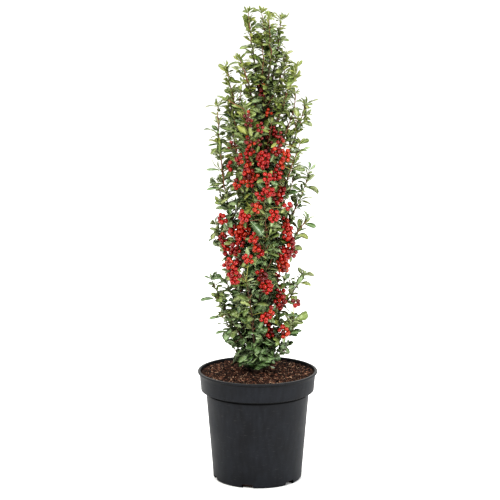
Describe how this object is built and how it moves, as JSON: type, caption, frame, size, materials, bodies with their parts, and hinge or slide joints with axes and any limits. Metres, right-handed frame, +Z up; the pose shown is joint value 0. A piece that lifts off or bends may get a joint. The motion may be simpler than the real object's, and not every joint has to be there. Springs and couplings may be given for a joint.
{
  "type": "potted firethorn shrub",
  "caption": "Slim upright firethorn shrub with narrow evergreen leaves and clusters of red berries, growing in a round black nursery pot.",
  "frame": {"origin": "middle of the pot's flat underside", "axes": "+Z up along the trunk, -Y towards the side that the picture shows, +X to that side's right"},
  "size_m": [0.23, 0.23, 0.908],
  "materials": {
    "pot_plastic": "moulded, matte black",
    "potting_soil": "loose peat and bark compost",
    "bark": "dark grey-brown bark",
    "berries": "waxy, glossy red fruit",
    "foliage": "small leathery evergreen leaves"
  },
  "bodies": {
    "root": {"bough_back_left": "bark", "bough_back_low": "bark", "bough_back_middle": "bark", "bough_back_upper": "bark", "bough_far_right": "bark", "bough_front_low": "bark", "bough_front_middle": "bark", "bough_front_upper": "bark", "bough_left_foot": "bark", "bough_left_leader": "bark", "bough_left_long": "bark", "bough_left_low": "bark", "bough_left_side": "bark", "bough_right_foot": "bark", "bough_right_leader": "bark", "bough_right_low": "bark", "bough_right_middle": "bark", "bough_right_outer": "bark", "bough_right_side": "bark", "bough_top_left": "bark", "bough_top_right": "bark", "bough_upper_left": "bark", "bough_upper_right": "bark", "mass_back_left": "foliage", "mass_back_low": "foliage", "mass_back_middle": "foliage", "mass_back_upper": "foliage", "mass_centre_leader": "foliage", "mass_far_right": "foliage", "mass_front_low": "foliage", "mass_front_middle": "foliage", "mass_front_upper": "foliage", "mass_inner_1": "foliage", "mass_inner_2": "foliage", "mass_inner_3": "foliage", "mass_inner_4": "foliage", "mass_inner_5": "foliage", "mass_inner_6": "foliage", "mass_inner_7": "foliage", "mass_inner_8": "foliage", "mass_inner_9": "foliage", "mass_left_foot": "foliage", "mass_left_leader": "foliage", "mass_left_long": "foliage", "mass_left_low": "foliage", "mass_left_side": "foliage", "mass_right_foot": "foliage", "mass_right_leader": "foliage", "mass_right_low": "foliage", "mass_right_middle": "foliage", "mass_right_outer": "foliage", "mass_right_side": "foliage", "mass_top_left": "foliage", "mass_top_right": "foliage", "mass_upper_left": "foliage", "mass_upper_right": "foliage", "pot": "pot_plastic", "soil": "potting_soil", "trunk": "bark"}
  },
  "joints": []
}
